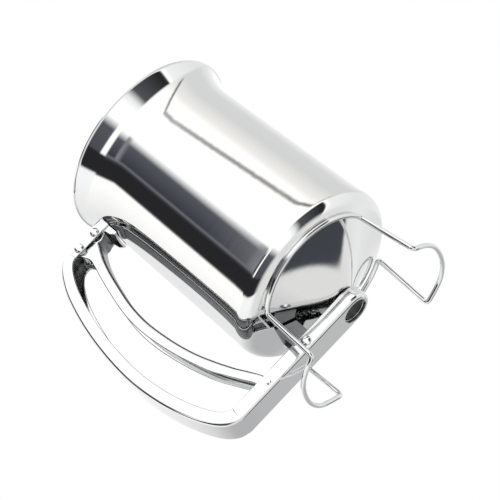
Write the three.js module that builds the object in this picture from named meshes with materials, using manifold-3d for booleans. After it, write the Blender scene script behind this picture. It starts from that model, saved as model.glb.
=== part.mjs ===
// Hand-held melting pot with a bottom outlet, a squeeze trigger and a pull-off wire stand.
// Millimetres, +Z up. The pot stands on the feet of its wire stand, mouth up, handle towards -X, and
// it is mirror-symmetric about the plane y = 0 but for small differences between the stand's legs.
// All pieces are drawn in the pot's own coordinates: the cup's axis is x = 0, and z = 0 is the level
// where the wall and the funnel-shaped bottom would meet if their shoulder were sharp.

import * as THREE from "three";
import { mergeVertices } from "three/addons/utils/BufferGeometryUtils.js";
import Module from "manifold-3d";

const wasm = await Module();
wasm.setup();

// Cup
const SHEET = 1.0;
const CUP_RADIUS = 52.5;
const NECK_RADIUS = 50.4;
const NECK_Z = 108;
const RIM_RADIUS = 55.7;
const RIM_Z = 131.9;
const BEAD_RADIUS = 0.9;
const SHOULDER_RADIUS = 9.5;
const CONE_ANGLE = THREE.MathUtils.degToRad(24.6);
const SHOULDER_SLOPE = THREE.MathUtils.degToRad(20.5);
const SHOULDER_FOOT = CUP_RADIUS - SHOULDER_RADIUS * (1 - Math.sin(SHOULDER_SLOPE));
const OUTLET_EDGE = 8.4;
const OUTLET_Z = -(CUP_RADIUS - OUTLET_EDGE) * Math.tan(CONE_ANGLE);
const OUTLET_BORE = 6.2;
const CUP_SEGMENTS = 72;

// Handle strap: a pressed channel, open towards the cup
const STRAP_HALF = 10.4;
const STRAP_SHEET = 1.2;
const FLANGE_TOP = 7.0;
const FLANGE_BAR = 8.0;
const STRAP_TOP_Z = 115.8;
const BAR_Z = -29.1;
const STRAP_REACH = -106.3;
const STRAP_WALL_RADIUS = 51.1;
const POUR_HOLE_RADIUS = 7.6;

// Trigger
const LEVER_HALF = 7.6;
const LEVER_SHEET = 1.0;
const LEVER_WEB_END = -20.6;
const PIVOT_X = -70.3;
const PIVOT_Z = 111;
const LINK_X = -58.8;
const LINK_Z = -24.7;
const LINK_SLOT = 0.7;

// Fasteners
const GAP = 0.3;
const PIN_RADIUS = 1.5;
const PIVOT_RADIUS = 1.7;
const PIVOT_PLAY = 0.09;
const HEAD_HEIGHT = 1.3;
const WALL_RIVET_X = -58.3;
const WALL_RIVET_Z = 111.2;
const BAR_RIVET_X = -30.2;
const BAR_RIVET_Z = -25.2;

// Brackets
const EAR_OUTER = STRAP_HALF - STRAP_SHEET - GAP;
const EAR_INNER = EAR_OUTER - 1.0;
const WALL_BASE_INNER = 50.95;
const WALL_BASE_OUTER = 52.1;

// Shutter and its spring
const WEB_INNER_Z = BAR_Z + STRAP_SHEET;
const ROD_RADIUS = 1.5;
const COIL_RADIUS = 2.7;
const COIL_WIRE = 0.4;
const COIL_TURNS = 8;
const COIL_FROM = -19.8;
const COIL_TO = -43.4;
const STOP_X = -44.5;

// Wire stand
const WIRE_RADIUS = 1.4;
const WIRE_SIDES = 8;
const WIRE_GAP = 0.4;
const FOOT_Z = -42.4;
const FOOT_FLAT = 0.1;
const GROUND_Z = FOOT_Z - WIRE_RADIUS + FOOT_FLAT;
const ARC_CENTRE_Y = 10.4;
const ARC_RADIUS = 38.1;

// The cup's axis is set so that the whole part's box is centred on x = 0.
const AXIS_X = -(STRAP_REACH + RIM_RADIUS) / 2;

const v2 = (x, y) => new THREE.Vector2(x, y);
const v3 = (x, y, z) => new THREE.Vector3(x, y, z);

/** A closed geometry as a manifold solid. */
function solid(geometry) {
  const bare = new THREE.BufferGeometry();
  const flat = geometry.index ? geometry.toNonIndexed() : geometry;
  bare.setAttribute("position", flat.getAttribute("position").clone());
  const merged = mergeVertices(bare, 1e-3);
  const mesh = new wasm.Mesh({
    numProp: 3,
    vertProperties: new Float32Array(merged.attributes.position.array),
    triVerts: new Uint32Array(merged.index.array),
  });
  return new wasm.Manifold(mesh);
}

/** A manifold solid as a three.js geometry with flat normals. */
function geometryOf(body) {
  const mesh = body.getMesh();
  const positions = new Float32Array((mesh.vertProperties.length / mesh.numProp) * 3);
  for (let i = 0; i < positions.length / 3; i += 1) {
    for (let k = 0; k < 3; k += 1) {
      positions[3 * i + k] = mesh.vertProperties[mesh.numProp * i + k];
    }
  }
  const geometry = new THREE.BufferGeometry();
  geometry.setAttribute("position", new THREE.BufferAttribute(positions, 3));
  geometry.setIndex(new THREE.BufferAttribute(new Uint32Array(mesh.triVerts), 1));
  const flat = geometry.toNonIndexed();
  flat.computeVertexNormals();
  return flat;
}

/** The solid of a profile drawn in the XZ plane, from y = low to y = high. */
function slab(points, low, high) {
  const shape = new THREE.Shape(points);
  const geometry = new THREE.ExtrudeGeometry(shape, {
    depth: high - low,
    bevelEnabled: false,
    curveSegments: 12,
  });
  geometry.rotateX(Math.PI / 2);
  geometry.translate(0, high, 0);
  return solid(geometry);
}

/** A round bar along the direction "x", "y" or "z", from one end to the other. */
function bar(radius, axis, from, to, centre, sides = 32) {
  const geometry = new THREE.CylinderGeometry(radius, radius, to - from, sides);
  if (axis === "z") geometry.rotateX(Math.PI / 2);
  if (axis === "x") geometry.rotateZ(-Math.PI / 2);
  const middle = (from + to) / 2;
  const [a, b] = centre;
  if (axis === "x") geometry.translate(middle, a, b);
  if (axis === "y") geometry.translate(a, middle, b);
  if (axis === "z") geometry.translate(a, b, middle);
  return solid(geometry);
}

/** A box between two corners. */
function block(low, high) {
  const size = high.clone().sub(low);
  const geometry = new THREE.BoxGeometry(size.x, size.y, size.z);
  geometry.translate((low.x + high.x) / 2, (low.y + high.y) / 2, (low.z + high.z) / 2);
  return solid(geometry);
}

/** A turned piece about the Z axis from (radius, z) points that end on the axis or close on themselves. */
function turned(profile, segments) {
  const geometry = new THREE.LatheGeometry(profile, segments);
  geometry.rotateX(Math.PI / 2);
  return geometry;
}

/** Points of an arc of a circle, both ends included. */
function arc(cx, cy, radius, from, to, steps) {
  const points = [];
  for (let i = 0; i <= steps; i += 1) {
    const angle = from + ((to - from) * i) / steps;
    points.push(v2(cx + radius * Math.cos(angle), cy + radius * Math.sin(angle)));
  }
  return points;
}

/** A line shifted to its left-hand side by a distance that may change along it. */
function shifted(points, distance) {
  return points.map((p, i) => {
    const before = points[Math.max(i - 1, 0)];
    const after = points[Math.min(i + 1, points.length - 1)];
    const along = after.clone().sub(before).normalize();
    const d = distance(i / (points.length - 1));
    return v2(p.x - along.y * d, p.y + along.x * d);
  });
}

/** The height of the bottom's outer face at a radius: a parabola, steepest beside the outlet. */
function bottomZ(radius) {
  const mean = Math.tan(CONE_ANGLE);
  const last = Math.tan(SHOULDER_SLOPE);
  const along = radius - OUTLET_EDGE;
  const share = along / (SHOULDER_FOOT - OUTLET_EDGE);
  return OUTLET_Z + (2 * mean - last + (last - mean) * share) * along;
}

/** The cup's outer profile, from the outlet's edge over the shoulder to the rim. */
function cupOutline() {
  const steps = 7;
  const points = [];
  for (let i = 0; i < steps; i += 1) {
    const radius = OUTLET_EDGE + ((SHOULDER_FOOT - OUTLET_EDGE) * i) / steps;
    points.push(v2(radius, bottomZ(radius)));
  }
  const centreZ = bottomZ(SHOULDER_FOOT) + SHOULDER_RADIUS * Math.cos(SHOULDER_SLOPE);
  const start = -Math.PI / 2 + SHOULDER_SLOPE;
  points.push(...arc(CUP_RADIUS - SHOULDER_RADIUS, centreZ, SHOULDER_RADIUS, start, 0, 8));
  const flare = new THREE.CubicBezierCurve(
    v2(NECK_RADIUS, NECK_Z),
    v2(NECK_RADIUS - 0.1, NECK_Z + 11),
    v2(RIM_RADIUS - 3.2, RIM_Z - 6),
    v2(RIM_RADIUS - BEAD_RADIUS * 0.6, RIM_Z - BEAD_RADIUS),
  );
  points.push(...flare.getPoints(9));
  return points;
}

/** One spun sheet: funnel-shaped bottom, shoulder, tapered wall, flared mouth with a rolled lip. */
function cup() {
  const outer = cupOutline();
  const inner = shifted(outer, () => SHEET);
  inner[0].y = outer[0].y + 0.1;
  const lip = v2(RIM_RADIUS - BEAD_RADIUS, RIM_Z - BEAD_RADIUS);
  const bead = arc(lip.x, lip.y, BEAD_RADIUS, -0.3, Math.PI * 0.95, 6);
  const profile = [...outer.slice(0, -1), ...bead, ...inner.slice(0, -1).reverse()];
  profile.push(profile[0].clone());
  return turned(profile, CUP_SEGMENTS);
}

/** The ring round the outlet that the seal presses against. */
function outletRing() {
  const top = OUTLET_Z - GAP;
  const low = -22.7;
  const profile = [
    v2(OUTLET_BORE, top),
    v2(OUTLET_BORE, low),
    v2(OUTLET_EDGE - 0.5, low),
    v2(OUTLET_EDGE, low + 0.5),
    v2(OUTLET_EDGE, top),
    v2(OUTLET_BORE, top),
  ];
  return turned(profile, 40);
}

/** The strap's outer line in the XZ plane, from the cup's wall round the grip to the cup's axis. */
function strapLine() {
  const grip = new THREE.SplineCurve([
    v2(-76, STRAP_TOP_Z),
    v2(-81.3, 113.8),
    v2(-86.4, 109.2),
    v2(-90.6, 103),
    v2(-94.6, 95),
    v2(-98.5, 83.7),
    v2(-101.7, 71.5),
    v2(-104.1, 58.5),
    v2(-105.7, 45),
    v2(STRAP_REACH, 31.5),
    v2(-105.3, 18),
    v2(-103, 4.3),
    v2(-99.3, -8.6),
    v2(-95.2, -18.2),
    v2(-91.4, -23.8),
    v2(-87, -27.4),
    v2(-81.5, BAR_Z),
  ]);
  return [v2(-48, STRAP_TOP_Z), v2(-62, STRAP_TOP_Z), ...grip.getPoints(44), v2(-40, BAR_Z), v2(0, BAR_Z)];
}

/** One pressed channel: top strip, curved grip and the bar below the cup with its round closed end. */
function strap() {
  const outer = strapLine();
  const height = (t) => FLANGE_TOP + (FLANGE_BAR - FLANGE_TOP) * Math.min(1, t * 1.15);
  const edge = shifted(outer, height);
  edge[edge.length - 1] = v2(0, BAR_Z + FLANGE_BAR);
  edge[edge.length - 2] = v2(-40, BAR_Z + FLANGE_BAR);
  const web = shifted(outer, () => STRAP_SHEET);
  const beyond = shifted(outer, (t) => height(t) + 3);
  const topZ = BAR_Z + FLANGE_BAR;
  let body = slab([...outer, ...edge.slice().reverse()], -STRAP_HALF, STRAP_HALF);
  body = body.add(bar(STRAP_HALF, "z", BAR_Z, topZ, [0, 0], 48));
  const inside = STRAP_HALF - STRAP_SHEET;
  const hollow = slab([...web, ...beyond.slice().reverse()], -inside, inside);
  body = body.subtract(hollow.add(bar(inside, "z", WEB_INNER_Z, topZ + 3, [0, 0], 48)));
  body = body.subtract(bar(STRAP_WALL_RADIUS, "z", 100, 130, [0, 0], 96));
  body = body.subtract(bar(POUR_HOLE_RADIUS, "z", BAR_Z - 1, WEB_INNER_Z + 1, [0, 0], 40));
  const out = STRAP_HALF + 2;
  body = body.subtract(bar(PIN_RADIUS + GAP, "y", -out, out, [WALL_RIVET_X, WALL_RIVET_Z]));
  body = body.subtract(bar(PIVOT_RADIUS + PIVOT_PLAY, "y", -out, out, [PIVOT_X, PIVOT_Z]));
  body = body.subtract(bar(PIN_RADIUS + GAP, "y", -out, out, [BAR_RIVET_X, BAR_RIVET_Z]));
  return geometryOf(body);
}

/** The bracket at the rim end: a base that follows the wall and two ears, mostly inside the strap. */
function wallBracket() {
  const [low, top] = [102.5, 113.9];
  const ear = [
    v2(-48, top),
    v2(-62, top),
    v2(-62.6, 113.3),
    v2(-62.6, 109.7),
    v2(-61.8, 108.9),
    v2(-54.6, 108.9),
    v2(-53.7, 108),
    v2(-53.2, 104.5),
    v2(-51.4, low),
    v2(-48, low),
  ];
  const base = [v2(-48, low), v2(-48, top), v2(-56, top), v2(-56, low)];
  const between = [v2(-66, 100), v2(-48, 100), v2(-48, 116), v2(-66, 116)];
  const ears = slab(ear.reverse(), -EAR_OUTER, EAR_OUTER).subtract(slab(between, -EAR_INNER, EAR_INNER));
  const shell = bar(WALL_BASE_OUTER, "z", 100, 116, [0, 0], 96);
  const foot = slab(base.reverse(), -EAR_OUTER, EAR_OUTER).intersect(shell);
  let body = ears.add(foot);
  body = body.subtract(bar(WALL_BASE_INNER, "z", 90, 120, [0, 0], 96));
  body = body.subtract(bar(PIN_RADIUS + GAP, "y", -12, 12, [WALL_RIVET_X, WALL_RIVET_Z]));
  return geometryOf(body);
}

/** The bracket below the cup's bottom: a sloping top that follows it and two ears inside the bar. */
function coneBracket() {
  const low = WEB_INNER_Z + GAP;
  const [from, to] = [-36, -25];
  const clear = GAP + 0.2;
  const sheet = 1.1;
  const under = (drop) => [from, (from + to) / 2, to].map((x) => v2(x, bottomZ(-x) - clear - drop));
  const outline = [v2(from, low), v2(to, low), ...under(0).reverse()];
  const hollow = under(sheet).reverse();
  hollow[0].x += 1;
  hollow[2].x -= 1;
  const cut = [v2(from - 1, low - 1), v2(to + 1, low - 1), ...hollow];
  let body = slab(outline, -EAR_OUTER, EAR_OUTER).subtract(slab(cut, -EAR_INNER, EAR_INNER));
  body = body.subtract(bar(PIN_RADIUS + GAP, "y", -12, 12, [BAR_RIVET_X, BAR_RIVET_Z]));
  return geometryOf(body);
}

/** Half of a rivet's profile along its axis: shaft radius, dome radius, from the dome's crown inwards. */
function domeProfile(shaft, dome, face) {
  const crown = face + HEAD_HEIGHT;
  return [
    v2(shaft, face),
    v2(dome, face),
    v2(dome * 0.94, face + HEAD_HEIGHT * 0.45),
    v2(dome * 0.72, face + HEAD_HEIGHT * 0.8),
    v2(dome * 0.38, crown - 0.05),
    v2(0, crown),
  ];
}

/** A rivet right through the strap, with a dome on each side; its axis is Y. */
function throughRivet(shaft, dome) {
  const side = domeProfile(shaft, dome, STRAP_HALF + GAP);
  const other = side.map((p) => v2(p.x, -p.y)).reverse();
  return new THREE.LatheGeometry([...other, ...side], 24);
}

/** A short rivet that holds one ear to one flange; its outer dome faces +Y. */
function shortRivet() {
  const inner = EAR_INNER - GAP;
  const profile = [
    v2(0, inner - 0.9),
    v2(1.9, inner - 0.7),
    v2(2.2, inner),
    v2(PIN_RADIUS, inner),
    ...domeProfile(PIN_RADIUS, 2.8, STRAP_HALF + GAP),
  ];
  return new THREE.LatheGeometry(profile, 24);
}

/** A spacer between the lever and the strap; its axis is Y. */
function washer() {
  const [low, high] = [LEVER_HALF + GAP, STRAP_HALF - STRAP_SHEET - GAP];
  const bore = PIVOT_RADIUS + PIVOT_PLAY;
  const rim = 3.2;
  return new THREE.LatheGeometry([v2(bore, low), v2(rim, low), v2(rim, high), v2(bore, high), v2(bore, low)], 28);
}

/** The web's line on the cup's side, from the curled tongue at its head down to its end inside the bar. */
function leverLine() {
  const curve = new THREE.SplineCurve([
    v2(-53.4, 109.2),
    v2(-54.7, 107.6),
    v2(-57.2, 106.5),
    v2(-59.6, 106),
    v2(-61.3, 104.6),
    v2(-62.8, 102),
    v2(-66.1, 95.2),
    v2(-68.8, 87.5),
    v2(-71.9, 76.2),
    v2(-74.4, 65.2),
    v2(-75.6, 53.6),
    v2(-75.3, 42.8),
    v2(-73.8, 29.3),
    v2(-71.3, 17.1),
    v2(-67.8, 6),
    v2(-63.8, -4.5),
    v2(-60.3, -12.3),
    v2(-57.4, -19.8),
    v2(-56, -26.8),
  ]);
  return curve.getPoints(48);
}

/** The line of the flanges' edges on the grip's side, from the lower end up to the pivot. */
function leverEdge() {
  const curve = new THREE.SplineCurve([
    v2(-62.2, -26.8),
    v2(-63.2, -19.8),
    v2(-66.7, -12.2),
    v2(-70.4, -4),
    v2(-74.2, 5),
    v2(-77.5, 17),
    v2(-80, 29.5),
    v2(-81.6, 42.5),
    v2(-81.9, 54),
    v2(-80.6, 66),
    v2(-78, 77.5),
    v2(-74.9, 89),
    v2(-72, 98),
    v2(-69.7, 104),
    v2(-68.6, 107.8),
  ]);
  return curve.getPoints(30);
}

/** The trigger: a web with a curled tongue, a flange at each side with a pivot ear, and a fork below. */
function lever() {
  const line = leverLine();
  const sheet = line.filter((p) => p.y > LEVER_WEB_END);
  const skin = shifted(sheet, () => -LEVER_SHEET);
  const web = slab([...sheet.slice().reverse(), ...skin], -LEVER_HALF, LEVER_HALF);
  const side = line.filter((p) => p.y < 104.8);
  const head = [v2(-61.6, 108.4), v2(-63, 111), v2(PIVOT_X, PIVOT_Z + 2.6)];
  const outline = [...side.reverse(), ...head, ...leverEdge().reverse()];
  const inner = LEVER_HALF - LEVER_SHEET;
  const ear = bar(3.2, "y", -LEVER_HALF, LEVER_HALF, [PIVOT_X, PIVOT_Z]);
  const between = [v2(-95, -30), v2(-50, -30), v2(-50, 118), v2(-95, 118)];
  const flanges = slab(outline, -LEVER_HALF, LEVER_HALF).add(ear).subtract(slab(between, -inner, inner));
  let body = web.add(flanges);
  body = body.subtract(bar(PIVOT_RADIUS + PIVOT_PLAY, "y", -9, 9, [PIVOT_X, PIVOT_Z]));
  const slot = bar(PIN_RADIUS, "y", -9, 9, [LINK_X, LINK_Z - LINK_SLOT]);
  body = body.subtract(slot.add(bar(PIN_RADIUS, "y", -9, 9, [LINK_X, LINK_Z + LINK_SLOT])));
  const reach = v3(PIN_RADIUS, 9, LINK_SLOT);
  const at = v3(LINK_X, 0, LINK_Z);
  body = body.subtract(block(at.clone().sub(reach), at.clone().add(reach)));
  return geometryOf(body);
}

/** The shutter's ring with the lug that takes the rod. */
function shutterRing() {
  const [low, high] = [WEB_INNER_Z + GAP, -24.6];
  let body = bar(8.7, "z", low, high, [0, 0], 40);
  body = body.add(block(v3(-16, -4, low), v3(-7.6, 4, high)));
  body = body.add(block(v3(-16, -4, low), v3(-10.4, 4, -22.4)));
  body = body.subtract(bar(7, "z", low - 1, high + 1, [0, 0], 40));
  return geometryOf(body);
}

/** The soft seal: a plug through the ring and a pad above it. */
function seal() {
  const profile = [
    v2(0, WEB_INNER_Z + 0.5),
    v2(6.2, WEB_INNER_Z + 0.5),
    v2(6.7, WEB_INNER_Z + 1),
    v2(6.7, -24.3),
    v2(8.6, -24.3),
    v2(8.6, -23.3),
    v2(8.3, -23),
    v2(0, -23),
  ];
  return turned(profile, 40);
}

/** The pull rod with the spring's collar and the eye for the link pin. */
function shutterRod() {
  const sides = 20;
  let body = bar(ROD_RADIUS, "x", LINK_X, -16.3, [0, LINK_Z], sides);
  body = body.add(bar(3.1, "x", -19.4, -18.2, [0, LINK_Z], sides));
  body = body.add(block(v3(LINK_X - 2.6, -5.9, LINK_Z - 2.4), v3(LINK_X + 2.6, 5.9, LINK_Z + 2.4)));
  body = body.subtract(bar(PIN_RADIUS - 0.2 + GAP, "y", -7, 7, [LINK_X, LINK_Z]));
  return geometryOf(body);
}

/** The pin through the rod's eye and the lever's fork; its axis is Y. */
function linkPin() {
  const shaft = PIN_RADIUS - 0.2;
  const head = [v2(shaft, LEVER_HALF + GAP), v2(2.1, LEVER_HALF + GAP), v2(2.1, 8.5), v2(1.7, 8.9), v2(0, 8.9)];
  const other = head.map((p) => v2(p.x, -p.y)).reverse();
  return new THREE.LatheGeometry([...other, ...head], 20);
}

/** The plate across the bar that the spring pushes against. */
function springStop() {
  const half = STRAP_HALF - STRAP_SHEET - GAP;
  const low = v3(STOP_X - 0.6, -half, WEB_INNER_Z + GAP);
  const high = v3(STOP_X + 0.6, half, -21.6);
  const hole = bar(ROD_RADIUS + GAP, "x", STOP_X - 2, STOP_X + 2, [0, LINK_Z], 20);
  return geometryOf(block(low, high).subtract(hole));
}

/** The coil round the rod, between the collar and the stop. */
class Coil extends THREE.Curve {
  getPoint(t, target = new THREE.Vector3()) {
    const angle = t * COIL_TURNS * 2 * Math.PI;
    const x = COIL_FROM + (COIL_TO - COIL_FROM) * t;
    return target.set(x, COIL_RADIUS * Math.cos(angle), LINK_Z + COIL_RADIUS * Math.sin(angle));
  }
}

function spring() {
  const section = new THREE.Shape(arc(0, 0, COIL_WIRE, 0, (2 * Math.PI * 5) / 6, 5));
  return new THREE.ExtrudeGeometry(section, { steps: COIL_TURNS * 14, extrudePath: new Coil() });
}

/** The height of the stand's wire below the shoulder: it keeps clear of a straight cone to the outlet. */
function cradleZ(radius) {
  const clearance = WIRE_RADIUS + 0.35;
  const onCone = radius - clearance * Math.sin(CONE_ANGLE);
  return -(CUP_RADIUS - onCone) * Math.tan(CONE_ANGLE) - clearance * Math.cos(CONE_ANGLE);
}

/** A path through fixed stations, so that bends get close steps and straight legs few. */
class Stations extends THREE.Curve {
  constructor(points) {
    super();
    this.points = points;
  }

  getPoint(t, target = new THREE.Vector3()) {
    const place = Math.min(t * (this.points.length - 1), this.points.length - 1 - 1e-9);
    const i = Math.floor(place);
    return target.lerpVectors(this.points[i], this.points[i + 1], place - i);
  }

  getPointAt(t, target) {
    return this.getPoint(t, target);
  }

  getTangentAt(t, target = new THREE.Vector3()) {
    const i = Math.round(t * (this.points.length - 1));
    const before = this.points[Math.max(i - 1, 0)];
    const after = this.points[Math.min(i + 1, this.points.length - 1)];
    return target.copy(after).sub(before).normalize();
  }
}

/** Rounds a corner of a path with a short curve of stations. */
function corner(before, at, after, reach, steps) {
  const from = at.clone().add(before.clone().sub(at).setLength(reach));
  const to = at.clone().add(after.clone().sub(at).setLength(reach));
  return new THREE.QuadraticBezierCurve3(from, at, to).getPoints(steps);
}

/** Part of the cradle: an arc under the shoulder between two angles; side is 1 at -Y and -1 at +Y. */
function cradle(side, from, to, steps) {
  return arc(0, -ARC_CENTRE_Y, ARC_RADIUS, from, to, steps).map((p) => {
    const z = cradleZ(Math.hypot(p.x, p.y));
    return v3(p.x, p.y * side, z);
  });
}

/** One foot: a bow that bulges outwards, level with the table. */
function foot(sign, near, far) {
  const line = [near, v3(44.8, -22, FOOT_Z), v3(49.4, -12.4, FOOT_Z), v3(51, 0.6, FOOT_Z)];
  line.push(v3(49.6, 12.4, FOOT_Z), v3(44.8, 22, FOOT_Z), far);
  const points = line.map((p) => v3(p.x * sign, p.y, p.z));
  return new THREE.CatmullRomCurve3(points).getPoints(18);
}

/** One leg: down on the -Y side, round the foot and up on the +Y side. */
function leg(sign, topNear, topFar) {
  const near = v3(37.4, -29.6, FOOT_Z);
  const far = v3(33.6, 30.6, FOOT_Z);
  const bow = foot(sign, near, far);
  const nearEnd = bow[0];
  const farEnd = bow[bow.length - 1];
  const down = corner(topNear, nearEnd, bow[2], 2.6, 3);
  const up = corner(bow[bow.length - 3], farEnd, topFar, 2.6, 3);
  return [...down, ...bow.slice(2, -2), ...up];
}

/** The stand's one bent wire; its two ends butt behind the cup. */
function standWire() {
  const half = WIRE_GAP / 2 / ARC_RADIUS;
  const low = -Math.PI / 2;
  const reach = THREE.MathUtils.degToRad(66.5);
  const backA = cradle(-1, low + half, low + reach - 0.08, 11);
  const backB = cradle(-1, low - reach + 0.08, low - half, 11);
  const front = cradle(1, low + reach - 0.08, low - reach + 0.08, 22);
  const topOf = (side, angle) => cradle(side, angle, angle, 1)[0];
  const points = [...backA];
  const farRight = topOf(-1, low + reach);
  const nearRight = topOf(1, low + reach);
  const nearLeft = topOf(1, low - reach);
  const farLeft = topOf(-1, low - reach);
  const right = leg(1, nearRight, farRight).reverse();
  const left = leg(-1, nearLeft, farLeft);
  points.push(...corner(backA[backA.length - 1], farRight, right[0], 2.4, 3).slice(1));
  points.push(...right);
  points.push(...corner(right[right.length - 1], nearRight, front[0], 2.4, 3));
  points.push(...front.slice(1, -1));
  points.push(...corner(front[front.length - 1], nearLeft, left[0], 2.4, 3));
  points.push(...left);
  points.push(...corner(left[left.length - 1], farLeft, backB[0], 2.4, 3).slice(0, -1));
  points.push(...backB);
  const reachOut = WIRE_RADIUS / Math.cos(Math.PI / WIRE_SIDES);
  const turn = Math.PI / WIRE_SIDES;
  const ring = arc(0, 0, reachOut, turn, turn + 2 * Math.PI * (1 - 1 / WIRE_SIDES), WIRE_SIDES - 1);
  const path = new Stations(points);
  const tube = new THREE.ExtrudeGeometry(new THREE.Shape(ring), { steps: points.length - 1, extrudePath: path });
  const floor = block(v3(-70, -70, GROUND_Z - 5), v3(70, 70, GROUND_Z));
  return geometryOf(solid(tube).subtract(floor));
}

const POLISHED = { color: 0xd6d8da, roughness: 0.06, metalness: 1 };
const SATIN = { color: 0xb9bcc0, roughness: 0.24, metalness: 1 };
const ZINC = { color: 0xa9adb2, roughness: 0.35, metalness: 1 };
const SILICONE = { color: 0x1c1d1f, roughness: 0.6, metalness: 0 };

const part = new THREE.Group();
const pot = new THREE.Group();
pot.position.set(AXIS_X, 0, -GROUND_Z);
part.add(pot);

/** Adds one named piece to the pot. */
function add(name, geometry, look) {
  const mesh = new THREE.Mesh(geometry, new THREE.MeshStandardMaterial(look));
  mesh.name = name;
  pot.add(mesh);
  return mesh;
}

add("cup_body", cup(), POLISHED);
add("outlet_ring", outletRing(), SATIN);
add("handle_strap", strap(), POLISHED);
add("wall_bracket", wallBracket(), POLISHED);
add("cone_bracket", coneBracket(), POLISHED);
add("wall_rivet", throughRivet(PIN_RADIUS, 2.6), POLISHED).position.set(WALL_RIVET_X, 0, WALL_RIVET_Z);
add("bar_rivet_back", shortRivet(), POLISHED).position.set(BAR_RIVET_X, 0, BAR_RIVET_Z);
const front = add("bar_rivet_front", shortRivet(), POLISHED);
front.position.set(BAR_RIVET_X, 0, BAR_RIVET_Z);
front.rotation.x = Math.PI;
add("pivot_pin", throughRivet(PIVOT_RADIUS, 2.8), POLISHED).position.set(PIVOT_X, 0, PIVOT_Z);
add("pivot_spacer_back", washer(), ZINC).position.set(PIVOT_X, 0, PIVOT_Z);
const spacer = add("pivot_spacer_front", washer(), ZINC);
spacer.position.set(PIVOT_X, 0, PIVOT_Z);
spacer.rotation.x = Math.PI;
add("trigger_lever", lever(), POLISHED);
add("shutter_ring", shutterRing(), SATIN);
add("shutter_seal", seal(), SILICONE);
add("shutter_rod", shutterRod(), SATIN);
add("link_pin", linkPin(), ZINC).position.set(LINK_X, 0, LINK_Z);
add("spring_stop", springStop(), SATIN);
add("return_spring", spring(), ZINC);
add("stand_wire", standWire(), POLISHED);

export default part;
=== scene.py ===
"""Polished melting pot on its wire stand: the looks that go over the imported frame.

Metres, +Z up. The pot's own coordinates, used by the classes below, have the cup's axis at x = 0 and
z = 0 where the wall and the cone would meet in a sharp edge; `placed` carries them into the frame.
"""

import logging
import math
from dataclasses import dataclass
from enum import Enum
from typing import Sequence

import bmesh
import bpy
import numpy as np
from mathutils import Matrix, Vector


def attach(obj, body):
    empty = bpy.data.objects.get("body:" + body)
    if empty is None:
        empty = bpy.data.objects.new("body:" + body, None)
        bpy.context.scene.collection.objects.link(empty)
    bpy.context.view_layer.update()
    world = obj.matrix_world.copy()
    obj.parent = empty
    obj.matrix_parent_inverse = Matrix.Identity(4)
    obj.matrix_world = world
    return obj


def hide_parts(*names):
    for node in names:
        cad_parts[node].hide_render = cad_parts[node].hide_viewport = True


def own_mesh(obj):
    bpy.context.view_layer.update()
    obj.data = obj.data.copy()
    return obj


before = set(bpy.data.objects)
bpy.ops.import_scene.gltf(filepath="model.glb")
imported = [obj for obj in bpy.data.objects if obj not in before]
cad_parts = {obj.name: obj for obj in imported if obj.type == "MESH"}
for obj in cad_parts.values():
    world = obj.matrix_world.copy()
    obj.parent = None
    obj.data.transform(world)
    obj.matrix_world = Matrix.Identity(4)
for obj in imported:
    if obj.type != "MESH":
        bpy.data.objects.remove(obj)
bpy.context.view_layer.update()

LOG = logging.getLogger("melting_pot")
MM = 0.001
AXIS_X = 25.3  # from the cup's axis to the middle of the part's box, in millimetres
GROUND = 43.7  # from the feet to the pot's own zero height, in millimetres
WALL_RADIUS = 52.5  # the cup's, in millimetres
CONE_ANGLE = math.radians(24.6)  # the funnel bottom's mean slope
MERGE_M = 2e-6  # vertices closer than this are one
NO_LENGTH_M = 1e-7  # edges shorter than this go
FLAT_DEG = 0.6  # facets that meet at less than this are one face
ARC_POINTS = 7  # points on a pressed sheet's bend and on its rounded edge
WEB_POINTS = 4  # points across its flat web
PAST_BOTH_SIDES = 12.0  # half the length of a hole's cutter, in millimetres
RING_SLOPE = 0.46  # the radius's share in the height of the polishing rings
TURN_LENGTH = 0.0016  # how fast those rings change round the axis, in metres a radian
Array = np.ndarray


class Body(Enum):
    """The rigid bodies that pieces ride on."""

    POT = "pot"
    TRIGGER = "trigger"
    SHUTTER = "shutter"
    STAND = "stand"


class Slot(Enum):
    """The record's material slots."""

    POLISHED = "polished_steel"
    SATIN = "satin_steel"
    WIRE = "polished_wire"
    SPRING = "spring_wire"
    SILICONE = "black_silicone"


class Axis(Enum):
    """Which way the axis of a turned piece points."""

    UP = "z"
    ACROSS = "y"


def placed(points: Array) -> Array:
    """Carries points from the pot's millimetres into the frame's metres.

    Args:
        points: any array whose last axis is x, y, z.

    Returns:
        The same points moved by the axis and the ground level, in metres.
    """
    return (points + np.array([AXIS_X, 0.0, GROUND])) * MM


# --------------------------------------------------------------------------- curves


def catmull(points: Sequence[Sequence[float]], steps: int) -> Array:
    """A uniform Catmull-Rom curve: each span is the cubic set by its two ends and their neighbours.

    Args:
        points: the points it passes through, with any number of coordinates.
        steps: how many spans the whole curve is cut into.

    Returns:
        steps + 1 points on the curve.
    """
    p = np.asarray(points, float)
    t = np.linspace(0, len(p) - 1, steps + 1)
    i = np.minimum(t.astype(int), len(p) - 2)
    w = (t - i)[:, None]
    a, b = p[np.maximum(i - 1, 0)], p[i]
    c, d = p[i + 1], p[np.minimum(i + 2, len(p) - 1)]
    v0, v1 = (c - a) / 2, (d - b) / 2
    return (2 * b - 2 * c + v0 + v1) * w**3 + (-3 * b + 3 * c - 2 * v0 - v1) * w**2 + v0 * w + b


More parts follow.
